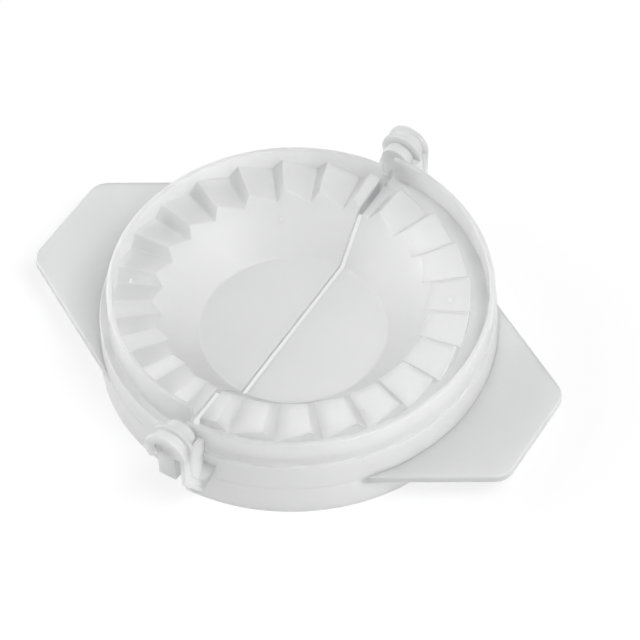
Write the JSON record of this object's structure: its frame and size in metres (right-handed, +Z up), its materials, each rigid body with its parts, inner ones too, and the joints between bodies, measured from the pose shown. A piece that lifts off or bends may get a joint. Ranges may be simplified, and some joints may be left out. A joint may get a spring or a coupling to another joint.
{
  "type": "empanada press",
  "caption": "Hinged press of two clear moulded D-shaped bowls with toothed crimping rings and flat grip plates, for folding and sealing a round of filled dough.",
  "frame": {"origin": "on the table, straight below the middle of the hinge line, with the press open and flat", "axes": "+X from the pin half across the hinge line to the hook half, along the two handles; +Y along the hinge line to the rear; +Z up"},
  "size_m": [0.1186, 0.1, 0.0232],
  "materials": {
    "clear_polypropylene": "uncoloured translucent polypropylene, milky in its depth, soft gloss on the mould faces and a faint matt grain on the walls"
  },
  "bodies": {
    "pin_half": {"pin_half_rim": "clear_polypropylene", "pin_half_skirt": "clear_polypropylene", "pin_half_floor": "clear_polypropylene", "pin_half_bowl": "clear_polypropylene", "pin_half_teeth": "clear_polypropylene", "pin_half_handle": "clear_polypropylene", "front_lug": "clear_polypropylene", "rear_lug": "clear_polypropylene", "front_pin": "clear_polypropylene", "rear_pin": "clear_polypropylene"},
    "hook_half": {"hook_half_lip": "clear_polypropylene", "hook_half_seat": "clear_polypropylene", "hook_half_skirt": "clear_polypropylene", "hook_half_floor": "clear_polypropylene", "hook_half_bowl": "clear_polypropylene", "hook_half_teeth": "clear_polypropylene", "hook_half_handle": "clear_polypropylene", "front_arm": "clear_polypropylene", "rear_arm": "clear_polypropylene", "front_hook": "clear_polypropylene", "rear_hook": "clear_polypropylene"}
  },
  "joints": [
    {"name": "hinge", "type": "hinge", "parent": "pin_half", "child": "hook_half", "pos_m": [0, 0, 0.0183], "axis": [0, -1, 0], "range_deg": [0, 180]}
  ]
}
